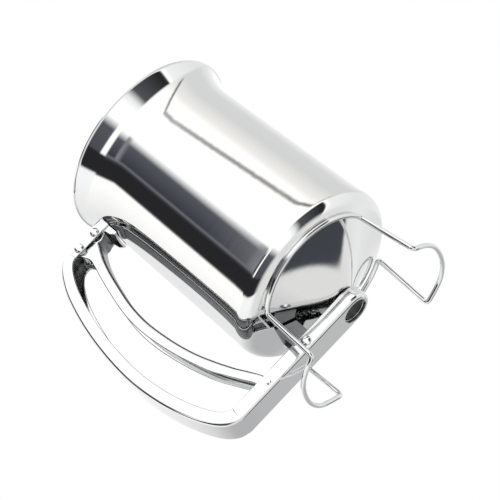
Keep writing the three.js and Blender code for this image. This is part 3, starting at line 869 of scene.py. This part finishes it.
@dataclass
class Handle:
    """The pressed channel strap with its two brackets and their rivets."""

    half: float = 10.4
    sheet: float = 1.2
    bend: float = 1.9
    top_z: float = 115.8
    bar_z: float = -29.1
    flange_top: float = 7.0
    flange_bar: float = 8.0
    wall_radius: float = 51.1
    hole: float = 7.6
    head: float = 1.3
    head_gap: float = 0.3
    wall_rivet: tuple[float, float, float, float] = (-58.3, 111.2, 2.6, 1.5)
    bar_rivet: tuple[float, float, float, float] = (-30.2, -25.2, 2.8, 1.5)
    lead: tuple[float, float] = (-56.0, -66.0)
    straight: tuple[float, float] = (-70.0, -8.6)
    straight_points: int = 14
    quarter_points: int = 15
    grip: tuple = (
        (-76, 115.8), (-81.3, 113.8), (-86.4, 109.2), (-90.6, 103), (-94.6, 95), (-98.5, 83.7),
        (-101.7, 71.5), (-104.1, 58.5), (-105.7, 45), (-106.25, 31.5), (-105.3, 18), (-103, 4.3),
        (-99.3, -8.6), (-95.2, -18.2), (-91.4, -23.8), (-87, -27.4), (-81.5, -29.1),
    )

    def stations(self) -> ChannelStations:
        """Sections from the cup's wall round the grip and the bar to the hole and back on the other side.

        Beside the hole the web starts at the hole's circle; past the axis the sections fan out round it.

        Returns:
            The sections of the whole strap.
        """
        turn = np.linspace(0, math.pi / 2, self.quarter_points)
        lead = np.array([[x, self.top_z] for x in (-self.wall_radius, *self.lead)])
        run = np.concatenate([np.linspace(*self.straight, self.straight_points), -self.hole * np.cos(turn)])
        bar = np.stack([run, np.full(len(run), self.bar_z)], 1)
        line = np.concatenate([lead, by_length(catmull(self.grip, 160), 110), bar])
        normal = left_of(line)
        normal[: len(lead)] = (0, -1)
        normal[-len(bar) - 1 :] = (0, 1)
        count = len(line)
        share = np.clip(np.linspace(0, 1.15, count), 0, 1)
        height = self.flange_top + (self.flange_bar - self.flange_top) * share
        inner = np.zeros(count)
        inner[-len(turn) :] = self.hole * np.sin(turn)
        base = np.stack([line[:, 0], np.zeros(count), line[:, 1]], 1)
        into = np.stack([normal[:, 0], np.zeros(count), normal[:, 1]], 1)
        across = np.tile([0.0, 1.0, 0.0], (count, 1))
        side = ChannelStations(base, into, across, inner, np.full(count, self.half), height)
        fan = np.linspace(math.pi / 2, -math.pi / 2, 2 * len(turn) + 1)[1:-1]
        m = len(fan)
        end = ChannelStations(
            np.tile([0.0, 0.0, self.bar_z], (m, 1)),
            np.tile([0.0, 0.0, 1.0], (m, 1)),
            np.stack([np.cos(fan), np.sin(fan), np.zeros(m)], 1),
            np.full(m, self.hole),
            np.full(m, self.half),
            np.full(m, self.flange_bar),
        )
        return side.joined(end).joined(side.mirrored_back())

    def strap(self) -> bpy.types.Object:
        """The whole channel; its first sections are drawn back to the cup's round wall.

        Returns:
            The strap's piece.
        """
        stations = self.stations()
        flat = np.ones(len(stations.base))
        bend, edge = flat * self.bend, flat * self.sheet / 2
        points, faces, marks = channel_shell(stations, self.sheet, bend, edge)
        near = (points[:, 2] > 100) & (points[:, 0] > -53)
        points[near, 0] = -np.sqrt(self.wall_radius**2 - points[near, 1] ** 2)
        return mesh_piece("grip_strap", points, faces, 60, marks)

    @staticmethod
    def dome(radius: float, shaft: float, face: float, height: float) -> Array:
        """A rivet head's profile: a short rounded skirt and an elliptical crown, ending on the axis.

        Args:
            radius: the head's radius.
            shaft: the shaft's radius.
            face: how far the head's underside is from the middle plane.
            height: the head's height.

        Returns:
            Its (radius, height) points.
        """
        t = np.linspace(0, math.pi / 2, 14)
        skirt = np.array([[shaft, face], [radius - 0.12, face], [radius, face + 0.12]])
        crown = np.stack([radius * np.cos(t), face + 0.25 + (height - 0.25) * np.sin(t)], 1)
        return np.concatenate([skirt, crown])

    def rivet(self, name: str, x: float, z: float, radius: float, shaft: float) -> bpy.types.Object:
        """A rivet through both flanges: the dome's profile and its mirror image, turned about Y.

        Args:
            name: the piece's name.
            x: its place along X.
            z: its height.
            radius: the heads' radius.
            shaft: the shaft's radius.

        Returns:
            The rivet's piece.
        """
        side = self.dome(radius, shaft, self.half + self.head_gap, self.head)
        profile = np.concatenate([(side * [1, -1])[::-1], side])
        points, faces = turned(profile, 48, Axis.ACROSS, (x, 0, z))
        return mesh_piece(name, points, faces, 50)

    def short_rivet(self, name: str, sign: int) -> bpy.types.Object:
        """A rivet through one flange and one ear, with a flat inner head.

        Args:
            name: the piece's name.
            sign: 1 for the flange at +Y, -1 for the one at -Y.

        Returns:
            The rivet's piece.
        """
        x, z, radius, shaft = self.bar_rivet
        inner = np.array([[0, 6.7], [1.9, 6.8], [2.15, 7.1], [2.2, 7.6], [shaft, 7.6]])
        outer = self.dome(radius, shaft, self.half + self.head_gap, self.head)
        points, faces = turned(np.concatenate([inner, outer]), 48, Axis.ACROSS)
        points = points * [1, sign, 1] + np.array([x, 0, z])
        return mesh_piece(name, points, faces, 50)

    def build(self) -> None:
        """Makes and dresses the strap, the brackets and the rivets."""
        strap, rivet = STRAP_STEEL.material(), RIVET_STEEL.material()
        # The darker steel is painted shade: on the strap's hollow side and on the cone bracket, which lies
        # in the shade under the cup.
        hollow = SHADE_PAINTED_STEEL.material()
        grip = self.strap()
        dress(grip, Body.POT, Slot.POLISHED, strap, "handle_strap")
        grip.data.materials.append(hollow)
        for node, material in (("wall_bracket", strap), ("cone_bracket", hollow)):
            piece = softened(f"{node}_pressing", node, 0.3)
            dress(piece, Body.POT, Slot.POLISHED, material, node)
        wall = self.rivet("wall_rivet_domes", *self.wall_rivet)
        dress(wall, Body.POT, Slot.POLISHED, rivet, "wall_rivet")
        for word, sign in (("back", 1), ("front", -1)):
            piece = self.short_rivet(f"bar_rivet_{word}_dome", sign)
            dress(piece, Body.POT, Slot.POLISHED, rivet, f"bar_rivet_{word}")


@dataclass
class Trigger:
    """The squeeze lever, its pivot pin and the spacers beside it."""

    half: float = 7.6
    sheet: float = 1.0
    fork_z: float = -20.6
    prong: float = 1.5
    pivot: tuple[float, float] = (-70.3, 111.0)
    pivot_hole: float = 1.79
    pin: tuple[float, float] = (2.8, 1.7)
    link: tuple[float, float] = (-58.8, -24.7)
    link_hole: float = 1.5
    link_slot: float = 0.7
    washer: tuple[float, float, float] = (3.2, 7.9, 8.9)
    washer_edge: float = 0.2
    bends: tuple = ((-18.0, 1.45), (-6.0, 2.4), (95.0, 2.4), (103.0, 2.0))
    web_and_edge: tuple = (
        (-53.4, 109.2, -54.2, 109.8), (-54.7, 107.6, -55.5, 108.2), (-57.2, 106.5, -57.4, 107.5),
        (-58.8, 106.2, -58.9, 107.3), (-59.6, 106, -61.6, 108.4), (-60.3, 105.6, -65.5, 111.9),
        (-61, 105, -68.6, 113.8), (-61.6, 104.1, -71.8, 113.8), (-62.2, 103.1, -73.5, 111),
        (-63, 101.7, -72.6, 107.9), (-64.2, 99.3, -71, 103.2), (-66.1, 95.2, -72, 98),
        (-68.8, 87.5, -74.9, 89), (-71.9, 76.2, -78, 77.5), (-74.4, 65.2, -80.6, 66),
        (-75.6, 53.6, -81.9, 54), (-75.3, 42.8, -81.6, 42.5), (-73.8, 29.3, -80, 29.5),
        (-71.3, 17.1, -77.5, 17), (-67.8, 6, -74.2, 5), (-63.8, -4.5, -70.4, -4),
        (-60.3, -12.3, -66.7, -12.2), (-57.4, -19.8, -63.2, -19.8), (-56, -26.8, -62.2, -26.8),
    )

    def stations(self) -> ChannelStations:
        """Sections from the tongue's tip down to the fork and back on the other side.

        Each row of web_and_edge has the x and z of the web and of the flange's edge.

        Returns:
            The sections of the whole lever.
        """
        line = catmull(self.web_and_edge, 230)
        count = len(line)
        span = line[:, 2:] - line[:, :2]
        height = np.linalg.norm(span, axis=1)
        into = np.stack([span[:, 0], np.zeros(count), span[:, 1]], 1) / height[:, None]
        base = np.stack([line[:, 0], np.zeros(count), line[:, 1]], 1)
        inner = np.where(line[:, 1] < self.fork_z, self.half - self.prong, 0.0)
        across = np.tile([0.0, 1.0, 0.0], (count, 1))
        outer, height = np.full(count, self.half), np.maximum(height, self.sheet)
        side = ChannelStations(base, into, across, inner, outer, height)
        return side.joined(side.mirrored_back())

    def pressing(self) -> bpy.types.Object:
        """The lever: its web's bend is wide along the fingers and tight at the tongue and the fork.

        The web's outer face and half of its bend also take the hollow side's darker steel as painted shade,
        because they face the cup and lie in its shade.

        Returns:
            The lever's piece, with the pivot's hole and the link's slot.
        """
        stations = self.stations()
        bend = np.interp(stations.base[:, 2], *np.array(self.bends).T)
        bend = np.clip(np.minimum(bend, stations.height * 0.8), self.sheet, None)
        edge = np.clip((stations.height - self.sheet) * 0.4 + 0.02, 0.02, self.sheet / 2)
        points, faces, marks = channel_shell(stations, self.sheet, bend, edge)
        columns = len(points) // len(stations.base) - 1
        outside = 2 * WEB_POINTS
        marks = [int(mark or k % columns < outside) for k, mark in enumerate(marks)]
        piece = mesh_piece("trigger_pressing", points, faces, 50, marks)
        pivot = (*self.pivot, self.pivot_hole, 0.0)
        link = (*self.link, self.link_hole, self.link_slot)
        return bored(piece, [pivot, link], 50)

    def spacer(self, name: str, sign: int) -> bpy.types.Object:
        """A washer on the pivot pin: a rectangle with rounded outer corners, turned about Y.

        Args:
            name: the piece's name.
            sign: 1 for the side at +Y, -1 for the one at -Y.

        Returns:
            The washer's piece.
        """
        radius, near, far = self.washer
        e = self.washer_edge
        low = arc((radius - e, near + e), e, -math.pi / 2, 0, 4)
        edge = arc((radius - e, far - e), e, 0, math.pi / 2, 4)
        hole = np.array([[self.pivot_hole, far], [self.pivot_hole, near]])
        points, faces = turned(np.concatenate([hole[1:], low, edge, hole]), 48, Axis.ACROSS)
        points = points * [1, sign, 1] + np.array([self.pivot[0], 0, self.pivot[1]])
        return mesh_piece(name, points, faces)

    def build(self) -> None:
        """Makes and dresses the lever and what it turns on."""
        lever = self.pressing()
        dress(lever, Body.TRIGGER, Slot.POLISHED, STRAP_STEEL.material(), "trigger_lever")
        # The lever's second material is the darker steel: painted shade on its hollow side and on the web
        # that faces the cup.
        lever.data.materials.append(SHADE_PAINTED_STEEL.material())
        pin = Handle().rivet("pivot_pin_domes", *self.pivot, *self.pin)
        dress(pin, Body.POT, Slot.POLISHED, RIVET_STEEL.material(), "pivot_pin")
        for word, sign in (("back", 1), ("front", -1)):
            washer = self.spacer(f"pivot_washer_{word}", sign)
            dress(washer, Body.POT, Slot.SATIN, SATIN_STEEL.material(), f"pivot_spacer_{word}")


@dataclass
class Shutter:
    """The sliding seal under the outlet, its pull rod and the spring that closes it."""

    foot_z: float = -27.4
    foot_radius: float = 6.7
    foot_edge: float = 0.6
    pad_low: float = -24.3
    pad_top: float = -23.0
    pad_radius: float = 8.6
    pad_edges: tuple[float, float] = (0.2, 0.4)
    dish: tuple = ((0.0, 0.25), (3.5, 0.2), (5.2, 0.02))
    rod_z: float = -24.7
    coil_radius: float = 2.7
    wire: float = 0.4
    turns: int = 8
    coil_from: float = -19.8
    coil_to: float = -43.4
    keep: float = 0.297

    def seal(self) -> bpy.types.Object:
        """The soft plug and pad: a turned profile with rounded edges and a dished underside.

        Returns:
            The seal's piece.
        """
        z, e = self.foot_z, self.foot_edge
        low_edge, top_edge = self.pad_edges
        foot = arc((self.foot_radius - e, z + e), e, -math.pi / 2, 0, 5)
        step = np.array([
            [self.foot_radius, z + 0.9],
            [self.foot_radius, self.pad_low],
            [self.pad_radius - low_edge, self.pad_low],
            [self.pad_radius, self.pad_low + low_edge],
        ])
        pad_at = (self.pad_radius - top_edge, self.pad_top - top_edge)
        pad = arc(pad_at, top_edge, 0, math.pi / 2, 5)
        low = np.array(self.dish) + [0, z]
        profile = np.concatenate([low, foot, step, pad, [[0, self.pad_top]]])
        points, faces = turned(profile, 96)
        return mesh_piece("seal_pad", points, faces, 35)

    def spring(self) -> bpy.types.Object:
        """A helix: x falls evenly with the turn, y and z are the coil radius times cos and sin of it.

        Returns:
            The spring's piece.
        """
        t = np.linspace(0, 1, self.turns * 28 + 1)
        angle = t * self.turns * 2 * math.pi
        x = self.coil_from + (self.coil_to - self.coil_from) * t
        y = self.coil_radius * np.cos(angle)
        path = np.stack([x, y, self.rod_z + self.coil_radius * np.sin(angle)], 1)
        points, faces = swept(path, self.wire, 10)
        return mesh_piece("closing_spring", points, faces, 60)

    def build(self) -> None:
        """Makes and dresses the moving parts inside the bar."""
        satin = SATIN_STEEL.material()
        dress(self.seal(), Body.SHUTTER, Slot.SILICONE, Silicone().material(), "shutter_seal")
        for name, node, edge, body in (
            ("shutter_carrier", "shutter_ring", 0.25, Body.SHUTTER),
            ("pull_rod", "shutter_rod", 0.2, Body.SHUTTER),
            ("link_pin_turned", "link_pin", 0.15, Body.SHUTTER),
            ("spring_stop_plate", "spring_stop", 0.2, Body.POT),
        ):
            dress(softened(name, node, edge), body, Slot.SATIN, satin, node)
        spring = self.spring()
        dress(spring, Body.POT, Slot.SPRING, SPRING_STEEL.material(), "return_spring")
        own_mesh(spring)


@dataclass
class Stand:
    """The bent wire that the pot stands in."""

    radius: float = 1.4
    arc_centre: float = 10.4
    arc_radius: float = 38.1
    foot_z: float = -42.4
    gap: float = 0.4
    wall_radius: float = WALL_RADIUS
    cone_angle: float = CONE_ANGLE
    clearance: float = 0.35
    spread: float = math.radians(66.5)
    short_of_leg: float = 0.08
    top_bend: float = 2.4
    foot_bend: float = 2.6
    section_every: float = 1.1
    bow: tuple = (
        (37.4, -29.6), (44.8, -22), (49.4, -12.4), (51, 0.6), (49.6, 12.4), (44.8, 22), (33.6, 30.6),
    )

    def cradle(self, side: int, start: float, stop: float, steps: int) -> Array:
        """An arc in plan whose height follows the mean cone at the wire's clearance.

        Args:
            side: 1 for the half at -Y, -1 for the half at +Y.
            start: the arc's first angle.
            stop: its last angle.
            steps: how many spans it has.

        Returns:
            The arc's points.
        """
        plan = arc((0, -self.arc_centre), self.arc_radius, start, stop, steps)
        clear = self.radius + self.clearance
        on_cone = np.hypot(plan[:, 0], plan[:, 1]) - clear * math.sin(self.cone_angle)
        z = -(self.wall_radius - on_cone) * math.tan(self.cone_angle) - clear * math.cos(self.cone_angle)
        return np.stack([plan[:, 0], plan[:, 1] * side, z], 1)

    @staticmethod
    def corner(before: Array, at: Array, after: Array, reach: float) -> Array:
        """A quadratic curve from one leg of a corner to the other, starting and ending at the reach.

        Args:
            before: a point on the first leg.
            at: the corner.
            after: a point on the second leg.
            reach: how far from the corner the curve starts and ends.

        Returns:
            The curve's points.
        """
        a = at + (before - at) / np.linalg.norm(before - at) * reach
        b = at + (after - at) / np.linalg.norm(after - at) * reach
        t = np.linspace(0, 1, 8)[:, None]
        return (1 - t) ** 2 * a + 2 * t * (1 - t) * at + t**2 * b

    def leg(self, sign: int, near_top: Array, far_top: Array) -> Array:
        """Down the leg at -Y, round the foot's bow and up the leg at +Y.

        Args:
            sign: 1 for the foot at +X, -1 for the one at -X.
            near_top: the top of the leg at -Y.
            far_top: the top of the leg at +Y.

        Returns:
            The line's points.
        """
        bow = catmull([(x, y, self.foot_z) for x, y in self.bow], 48) * [sign, 1, 1]
        down = self.corner(near_top, bow[0], bow[5], self.foot_bend)
        up = self.corner(bow[-6], bow[-1], far_top, self.foot_bend)
        return np.concatenate([down, bow[4:-4], up])

    def path(self) -> Array:
        """The whole loop, from one butted end behind the cup round to the other.

        Returns:
            The wire's centre line.
        """
        half = self.gap / 2 / self.arc_radius
        low, reach = -math.pi / 2, self.spread
        near = reach - self.short_of_leg
        top = {
            (s, a): self.cradle(s, low + a * reach, low + a * reach, 1)[0] for s in (1, -1) for a in (1, -1)
        }
        first = self.cradle(-1, low + half, low + near, 30)
        last = self.cradle(-1, low - near, low - half, 30)
        front = self.cradle(1, low + near, low - near, 60)
        right = self.leg(1, top[1, 1], top[-1, 1])[::-1]
        left = self.leg(-1, top[1, -1], top[-1, -1])
        parts = [
            first,
            self.corner(first[-1], top[-1, 1], right[0], self.top_bend)[1:],
            right,
            self.corner(right[-1], top[1, 1], front[0], self.top_bend),
            front[1:-1],
            self.corner(front[-1], top[1, -1], left[0], self.top_bend),
            left,
            self.corner(left[-1], top[-1, -1], last[0], self.top_bend)[:-1],
            last,
        ]
        return np.concatenate(parts)

    def build(self) -> None:
        """Sweeps the wire, flattens its feet to the table's level and dresses it."""
        path = self.path()
        length = float(np.linalg.norm(np.diff(path, axis=0), axis=1).sum())
        points, faces = swept(by_length(path, int(length / self.section_every)), self.radius, 16)
        points[:, 2] = np.maximum(points[:, 2], -GROUND)
        wire = mesh_piece("wire_stand", points, faces, 60)
        dress(wire, Body.STAND, Slot.WIRE, WIRE_STEEL.material(), "stand_wire")


# --------------------------------------------------------------------------- studio


# The surroundings: colours, and the place in degrees and the colour or share of each ramp's stops.
INK = (0.018, 0.018, 0.02)
SLATE = (0.04, 0.042, 0.052)
PALE_SLATE = (0.14, 0.145, 0.16)
SOFT_SLATE = (0.08, 0.085, 0.1)
OPEN_SLATE = (0.06, 0.065, 0.075)
DIM_SLATE = (0.07, 0.075, 0.085)
CREAM = (0.97, 0.95, 0.92)
WARM_WHITE = (0.93, 0.92, 0.9)
HIGH_BAND = (
    (-180, WARM_WHITE), (-170, WARM_WHITE), (-167, INK), (-146, INK), (-143, SLATE), (-141, PALE_SLATE),
    (-138, SLATE), (-116, SOFT_SLATE), (-106, 0.95), (-104, 1.0), (-62, 1.0), (-50, CREAM),
    (-34, CREAM), (-24, (0.78, 0.77, 0.74)), (0, 0.6), (26, 0.6), (44, 0.72), (64, 0.95), (84, 0.9),
    (104, 0.7), (130, 0.72), (180, WARM_WHITE),
)
LOW_BAND = (
    (-180, 0.85), (-168, 0.85), (-165, INK), (-143, INK), (-141, OPEN_SLATE), (-112, SOFT_SLATE),
    (-101, 1.0), (-84, 1.0), (-73, 0.75), (-64, DIM_SLATE), (-32, INK), (-27, 0.02), (-25, 1.0),
    (-18, 0.8), (20, 0.7), (60, 0.74), (120, 0.7), (180, 0.85),
)
GAP_TURNS, GAP_RISES = (
    ((-143, 0.0), (-141, 1.0), (-103, 1.0), (-101, 0.0)),
    ((5, 0.0), (7, 1.0), (13, 1.0), (15, 0.0)),
)
STEP_TURNS, STEP_RISES = (
    ((-142, 0.0), (-138, 1.0), (-109, 1.0), (-105, 0.0)),
    ((24, 0.0), (26, 1.0), (28, 0.8), (31.5, 0.0)),
)
LINE_TURNS, LINE_RISES = (
    ((-57, 0.0), (-55.8, 1.0), (-52, 1.0), (-49.6, 0.0)),
    ((15, 0.0), (18, 1.0), (26, 1.0), (34, 0.8), (45, 0.0)),
)
LINE_CENTRE = 33
LINE_LEAN = 1.4


def turn_share(degrees: float) -> float:
    """An azimuth as a share of a turn from -180 degrees."""
    return (degrees + 180) / 360


def rise_share(degrees: float) -> float:
    """An elevation as a share of the half turn from straight down to straight up."""
    return degrees / 180 + 0.5


@dataclass
class Studio:
    """Floor, surroundings, lights and camera."""

    white: float = 1.35
    middle_z: float = 0.08
    floor_half: float = 3.0
    lens: float = 135.3
    eye: tuple[float, float, float] = (-173.1, -870.7, -428.6)
    right: tuple[float, float, float] = (0.6852, 0.2417, -0.6871)
    down: tuple[float, float, float] = (-0.71, 0.4325, -0.5558)
    ahead: tuple[float, float, float] = (0.1628, 0.8686, 0.4679)

    def camera(self) -> None:
        """The camera: below the floor's level, looking up at the pot's underside."""
        data = bpy.data.cameras.new("view")
        data.lens = self.lens
        data.sensor_width = 36
        data.clip_end = 20
        eye = bpy.data.objects.new("view", data)
        turn = Matrix((self.right, [-k for k in self.down], [-k for k in self.ahead])).transposed()
        place = Matrix.Translation(Vector(placed(np.array(self.eye)).tolist()))
        eye.matrix_world = place @ turn.to_quaternion().to_matrix().to_4x4()
        bpy.context.scene.collection.objects.link(eye)
        bpy.context.scene.camera = eye

    def floor(self) -> None:
        """A pale matt floor, seen from above only."""
        data = bpy.data.meshes.new("floor")
        f = self.floor_half
        data.from_pydata([(-f, -f, 0), (f, -f, 0), (f, f, 0), (-f, f, 0)], [], [(0, 1, 2, 3)])
        floor = bpy.data.objects.new("floor", data)
        bpy.context.scene.collection.objects.link(floor)
        paint = bpy.data.materials.new("floor_paint")
        paint.use_nodes = True
        paint.node_tree.nodes.clear()
        n = Nodes(paint.node_tree)
        place = n.add("ShaderNodeTexCoord").outputs["Object"]
        colour = n.mix(n.noise(place, 3.0, 3.0), (0.86, 0.86, 0.86, 1), (0.9, 0.9, 0.9, 1))
        matt = n.add("ShaderNodeBsdfPrincipled", {"Base Color": colour, "Roughness": 0.6})
        clear = n.add("ShaderNodeBsdfTransparent")
        back = n.add("ShaderNodeNewGeometry").outputs["Backfacing"]
        both = n.add("ShaderNodeMixShader", {0: back, 1: matt.outputs[0], 2: clear.outputs[0]})
        n.add("ShaderNodeOutputMaterial", {"Surface": both.outputs[0]})
        data.materials.append(paint)
        floor.visible_glossy = False

    @staticmethod
    def spot(
        n: Nodes, way: object, middle: Sequence[float], inner: float, outer: float
    ) -> bpy.types.NodeSocket:
        """A round patch of the surroundings: 1 near its middle, 0 far from it.

        Args:
            n: the builder of the world's tree.
            way: the direction socket.
            middle: its azimuth, from +X towards +Y, and its elevation, in degrees.
            inner: the angle from the middle, in degrees, up to which the patch is full.
            outer: the angle at which it ends.

        Returns:
            The patch's share.
        """
        a, b = (math.radians(k) for k in middle)
        toward = (math.cos(b) * math.cos(a), math.cos(b) * math.sin(a), math.sin(b))
        near = n.add("ShaderNodeVectorMath", {0: way, 1: toward}, operation="DOT_PRODUCT")
        limits = math.cos(math.radians(outer)), math.cos(math.radians(inner))
        return n.map(near.outputs["Value"], *limits, 0.0, 1.0)

    @staticmethod
    def band(n: Nodes, turn: object, stops: Sequence[tuple]) -> bpy.types.NodeSocket:
        """A ramp round the horizon; the stops' places are azimuths in degrees."""
        return n.ramp(turn, [(turn_share(place), colour) for place, colour in stops])

    @staticmethod
    def layer(n: Nodes, rise: object, stops: Sequence[tuple], smooth: bool = False) -> bpy.types.NodeSocket:
        """A ramp from below to above; the stops' places are elevations in degrees."""
        return n.ramp(rise, [(rise_share(place), colour) for place, colour in stops], smooth)

    def walls(self, n: Nodes, turn: object, rise: object) -> bpy.types.NodeSocket:
        """The surroundings near the horizon: one band for what lies high, one for what lies low.

        The elevation chooses between the bands. Over them come a bright gap at the top of the low band,
        a darker step in the high one and a thin slanting line. The line is a ramp on the azimuth plus a
        share of the elevation.

        Args:
            n: the builder of the world's tree.
            turn: the azimuth's share of a turn.
            rise: the elevation's share of half a turn.

        Returns:
            The colour.
        """
        high, low = self.band(n, turn, HIGH_BAND), self.band(n, turn, LOW_BAND)
        colour = n.mix(self.layer(n, rise, ((12.0, 0.0), (14.5, 1.0))), low, high)
        lean = n.math("MULTIPLY", n.math("SUBTRACT", rise, rise_share(LINE_CENTRE)), LINE_LEAN)
        slant = n.math("ADD", turn, lean)
        for along, turns, rises, paint in (
            (turn, GAP_TURNS, GAP_RISES, (0.95, 0.95, 0.95, 1)),
            (turn, STEP_TURNS, STEP_RISES, (0.2, 0.205, 0.225, 1)),
            (slant, LINE_TURNS, LINE_RISES, (0.14, 0.14, 0.14, 1)),
        ):
            share = n.math("MULTIPLY", self.band(n, along, turns), self.layer(n, rise, rises))
            colour = n.mix(share, colour, paint)
        return colour

    def surroundings(self) -> None:
        """White walls with dark openings as bands round the horizon, a grey floor below and patches.

        Rays that go straight to the camera see plain white.
        """
        world = bpy.data.worlds.new("studio")
        bpy.context.scene.world = world
        world.use_nodes = True
        world.node_tree.nodes.clear()
        n = Nodes(world.node_tree)
        way = n.add("ShaderNodeTexCoord").outputs["Generated"]
        parts = n.add("ShaderNodeSeparateXYZ", {0: way}).outputs
        turn = n.math("ADD", n.math("DIVIDE", n.math("ARCTAN2", parts[1], parts[0]), 2 * math.pi), 0.5)
        rise = n.math("DIVIDE", n.math("ARCSINE", parts[2]), math.pi / 2)
        rise = n.math("ADD", n.math("MULTIPLY", rise, 0.5), 0.5)
        colour = self.walls(n, turn, rise)
        below = self.layer(n, rise, ((-50, 1.0), (-28, 0.0)), smooth=True)
        colour = n.mix(below, colour, (0.66, 0.66, 0.65, 1))
        above = self.layer(n, rise, ((55, 0.0), (75, 1.0)), smooth=True)
        colour = n.mix(above, colour, (0.95, 0.95, 0.95, 1))
        colour = n.mix(self.spot(n, way, (100, -22), 12, 44), colour, (0.4, 0.4, 0.405, 1))
        colour = n.mix(self.spot(n, way, (68.5, -54.3), 17.6, 18.8), colour, (0.045, 0.05, 0.058, 1))
        seen = n.add("ShaderNodeLightPath").outputs["Is Camera Ray"]
        card = n.add("ShaderNodeBackground", {"Color": colour, "Strength": self.white})
        plain = n.add("ShaderNodeBackground", {"Color": (1, 1, 1, 1), "Strength": 1.0})
        both = n.add("ShaderNodeMixShader", {0: seen, 1: card.outputs[0], 2: plain.outputs[0]})
        n.add("ShaderNodeOutputWorld", {"Surface": both.outputs[0]})

    def lamp(self, name: str, place: Sequence[float], size: float, power: float) -> None:
        """A large soft square lamp that faces the pot's middle.

        Args:
            name: the lamp's name.
            place: where it hangs, in metres.
            size: its side, in metres.
            power: its power in watts.
        """
        data = bpy.data.lights.new(name, "AREA")
        data.size = size
        data.energy = power
        lamp = bpy.data.objects.new(name, data)
        away = Vector(place) - Vector((0, 0, self.middle_z))
        aim = away.to_track_quat("Z", "Y").to_matrix().to_4x4()
        lamp.matrix_world = Matrix.Translation(Vector(place)) @ aim
        lamp.visible_glossy = False
        bpy.context.scene.collection.objects.link(lamp)

    def build(self) -> None:
        """Sets up the whole studio."""
        self.camera()
        self.floor()
        self.surroundings()
        self.lamp("soft_top", (-0.3, -0.5, 1.3), 0.9, 6.0)
        self.lamp("soft_low", (-0.5, -1.0, -0.5), 0.8, 4.0)
        view = bpy.context.scene.view_settings
        view.view_transform = "Standard"
        view.look = "None"


def main() -> None:
    """Builds the shared groups, the studio and every sub-assembly."""
    logging.basicConfig(level=logging.INFO, format="%(name)s: %(message)s")
    handling_group()
    wear_group()
    spun_group()
    Studio().build()
    for part in (Cup(), Handle(), Trigger(), Shutter(), Stand()):
        part.build()
        LOG.info("%s is done", type(part).__name__)


if __name__ == "__main__":
    main()
